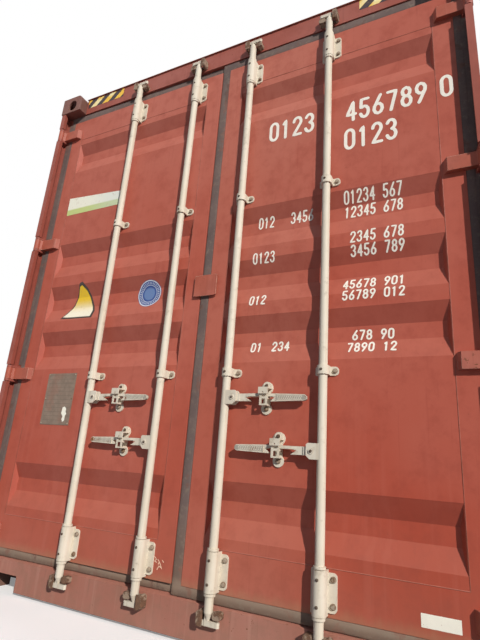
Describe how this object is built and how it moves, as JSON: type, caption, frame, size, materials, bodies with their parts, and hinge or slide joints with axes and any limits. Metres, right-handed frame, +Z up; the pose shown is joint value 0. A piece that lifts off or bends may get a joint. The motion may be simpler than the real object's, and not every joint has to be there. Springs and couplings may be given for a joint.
{
  "type": "shipping container",
  "caption": "Forty foot high cube dry freight container with corrugated walls, hinged lock-rod doors, turning lock rods, lifting handles and swinging catches.",
  "frame": {"origin": "centre of the footprint, at the level of the undersides of the corner castings", "axes": "+X out through the doors, +Y to the right of someone facing the doors from outside, +Z up"},
  "size_m": [12.192, 2.438, 2.896],
  "materials": {
    "container_paint": "red-brown paint, chalky, scuffed, rust at edges",
    "frame_paint": "red-brown paint, dusty, rust in scrapes",
    "lock_gear_paint": "cream galvanised and painted steel with rust runs",
    "rusty_steel": "paint worn off to rust",
    "door_rubber": "dusty grey rubber",
    "plate_metal": "weathered plate",
    "mark_paint": "white stencil paint and plain sticker film, worn",
    "floor_timber": "plywood, scuffed"
  },
  "bodies": {
    "container": {"corner_castings": "container_paint", "front_posts": "container_paint", "left_rear_post": "container_paint", "right_rear_post": "container_paint", "door_header": "container_paint", "door_sill": "frame_paint", "front_top_rail": "container_paint", "front_bottom_rail": "container_paint", "front_wall": "container_paint", "top_side_rails": "container_paint", "bottom_side_rails": "frame_paint", "left_side_wall": "container_paint", "right_side_wall": "container_paint", "roof_panel": "container_paint", "roof_corner_plates": "container_paint", "cross_members": "frame_paint", "gooseneck_tunnel": "frame_paint", "floor_boards": "floor_timber", "floor_centre_rail": "frame_paint", "side_vents": "container_paint", "hinge_lugs": "container_paint", "cam_keepers": "rusty_steel"},
    "left_door": {"left_door_frame": "container_paint", "left_door_panel": "container_paint", "left_door_seal": "door_rubber", "left_hinge_blades": "container_paint", "left_lock_brackets": "lock_gear_paint", "data_plate": "plate_metal"},
    "right_door": {"right_door_frame": "container_paint", "right_door_panel": "container_paint", "right_door_seal": "door_rubber", "right_hinge_blades": "container_paint", "right_lock_brackets": "lock_gear_paint", "overlap_plate": "container_paint"},
    "left_outer_rod": {"left_outer_rod": "lock_gear_paint"},
    "left_outer_handle": {"left_outer_handle": "lock_gear_paint"},
    "left_outer_catch": {"left_outer_catch": "lock_gear_paint"},
    "left_inner_rod": {"left_inner_rod": "lock_gear_paint"},
    "left_inner_handle": {"left_inner_handle": "lock_gear_paint"},
    "left_inner_catch": {"left_inner_catch": "lock_gear_paint"},
    "right_inner_rod": {"right_inner_rod": "lock_gear_paint"},
    "right_inner_handle": {"right_inner_handle": "lock_gear_paint"},
    "right_inner_catch": {"right_inner_catch": "lock_gear_paint"},
    "right_outer_rod": {"right_outer_rod": "lock_gear_paint"},
    "right_outer_handle": {"right_outer_handle": "lock_gear_paint"},
    "right_outer_catch": {"right_outer_catch": "lock_gear_paint"}
  },
  "joints": [
    {"name": "left_door_hinge", "type": "hinge", "parent": "container", "child": "left_door", "pos_m": [6.077, -1.2, 0.26], "axis": [0, 0, -1], "range_deg": [0, 265]},
    {"name": "right_door_hinge", "type": "hinge", "parent": "container", "child": "right_door", "pos_m": [6.077, 1.2, 0.26], "axis": [0, 0, 1], "range_deg": [0, 265]},
    {"name": "left_outer_rod_turn", "type": "hinge", "parent": "left_door", "child": "left_outer_rod", "pos_m": [6.066, -0.588, 0.084], "axis": [0, 0, 1], "range_deg": [-110, 0]},
    {"name": "left_outer_handle_lift", "type": "hinge", "parent": "left_outer_rod", "child": "left_outer_handle", "pos_m": [6.066, -0.551, 0.916], "axis": [-1, 0, 0], "range_deg": [-5, 0]},
    {"name": "left_outer_catch_swing", "type": "hinge", "parent": "left_door", "child": "left_outer_catch", "pos_m": [6.0451, -0.41, 0.966], "axis": [-1, 0, 0], "range_deg": [-100, 0]},
    {"name": "left_inner_rod_turn", "type": "hinge", "parent": "left_door", "child": "left_inner_rod", "pos_m": [6.066, -0.171, 0.084], "axis": [0, 0, -1], "range_deg": [-110, 0]},
    {"name": "left_inner_handle_lift", "type": "hinge", "parent": "left_inner_rod", "child": "left_inner_handle", "pos_m": [6.066, -0.208, 0.718], "axis": [1, 0, 0], "range_deg": [-5, 0]},
    {"name": "left_inner_catch_swing", "type": "hinge", "parent": "left_door", "child": "left_inner_catch", "pos_m": [6.0451, -0.349, 0.768], "axis": [1, 0, 0], "range_deg": [-100, 0]},
    {"name": "right_inner_rod_turn", "type": "hinge", "parent": "right_door", "child": "right_inner_rod", "pos_m": [6.066, 0.171, 0.084], "axis": [0, 0, 1], "range_deg": [-110, 0]},
    {"name": "right_inner_handle_lift", "type": "hinge", "parent": "right_inner_rod", "child": "right_inner_handle", "pos_m": [6.066, 0.208, 0.916], "axis": [-1, 0, 0], "range_deg": [-5, 0]},
    {"name": "right_inner_catch_swing", "type": "hinge", "parent": "right_door", "child": "right_inner_catch", "pos_m": [6.0451, 0.349, 0.966], "axis": [-1, 0, 0], "range_deg": [-100, 0]},
    {"name": "right_outer_rod_turn", "type": "hinge", "parent": "right_door", "child": "right_outer_rod", "pos_m": [6.066, 0.588, 0.084], "axis": [0, 0, -1], "range_deg": [-110, 0]},
    {"name": "right_outer_handle_lift", "type": "hinge", "parent": "right_outer_rod", "child": "right_outer_handle", "pos_m": [6.066, 0.551, 0.718], "axis": [1, 0, 0], "range_deg": [-5, 0]},
    {"name": "right_outer_catch_swing", "type": "hinge", "parent": "right_door", "child": "right_outer_catch", "pos_m": [6.0451, 0.41, 0.768], "axis": [1, 0, 0], "range_deg": [-100, 0]}
  ]
}
